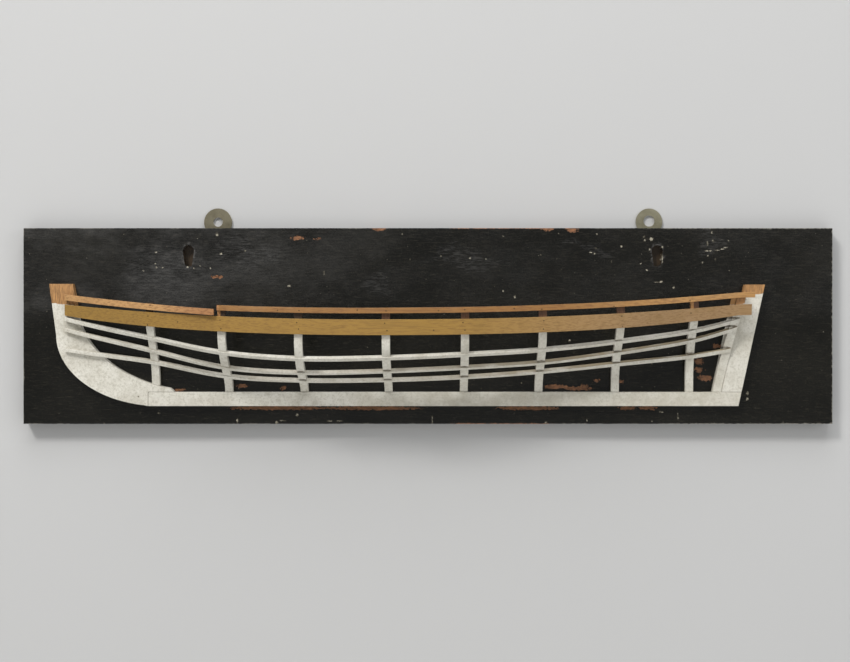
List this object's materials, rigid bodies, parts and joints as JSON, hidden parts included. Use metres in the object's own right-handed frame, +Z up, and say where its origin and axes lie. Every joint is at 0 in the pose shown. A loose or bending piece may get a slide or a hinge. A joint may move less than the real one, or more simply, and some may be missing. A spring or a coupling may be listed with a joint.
{
  "type": "ship half hull model",
  "caption": "Open framed half hull of a ship's boat, with keel, ribs, ribbands, wale and rail, on a black backboard with two hanging eyes.",
  "frame": {"origin": "centre of the backboard's back face, which lies against the wall", "axes": "+X along the hull from bow to stern, +Y into the wall, +Z up; the hull stands out towards -Y"},
  "size_m": [0.93, 0.1203, 0.2488],
  "materials": {
    "black_paint": "worn semi-gloss black paint over reddish brown wood",
    "white_paint": "brushed off-white paint with visible grain",
    "ochre_varnish": "satin ochre varnish",
    "orange_varnish": "satin orange brown varnish",
    "dull_brass": "tarnished sheet brass",
    "dull_steel": "dull steel"
  },
  "bodies": {
    "root": {"backboard": "black_paint", "keel": "white_paint", "stem": "white_paint", "sternpost": "white_paint", "transom": "white_paint", "wale": "ochre_varnish", "rail_fore": "orange_varnish", "rail_aft": "orange_varnish", "hanging_plate_left": "dull_brass", "plate_screw_left_1": "dull_steel", "plate_screw_left_2": "dull_steel", "hanging_plate_right": "dull_brass", "plate_screw_right_1": "dull_steel", "plate_screw_right_2": "dull_steel", "ribband_upper": "white_paint", "ribband_middle": "white_paint", "ribband_lower": "white_paint", "rib_1": "white_paint", "rib_2": "white_paint", "rib_3": "white_paint", "rib_4": "white_paint", "rib_5": "white_paint", "rib_6": "white_paint", "rib_7": "white_paint", "rib_8": "white_paint"}
  },
  "joints": []
}
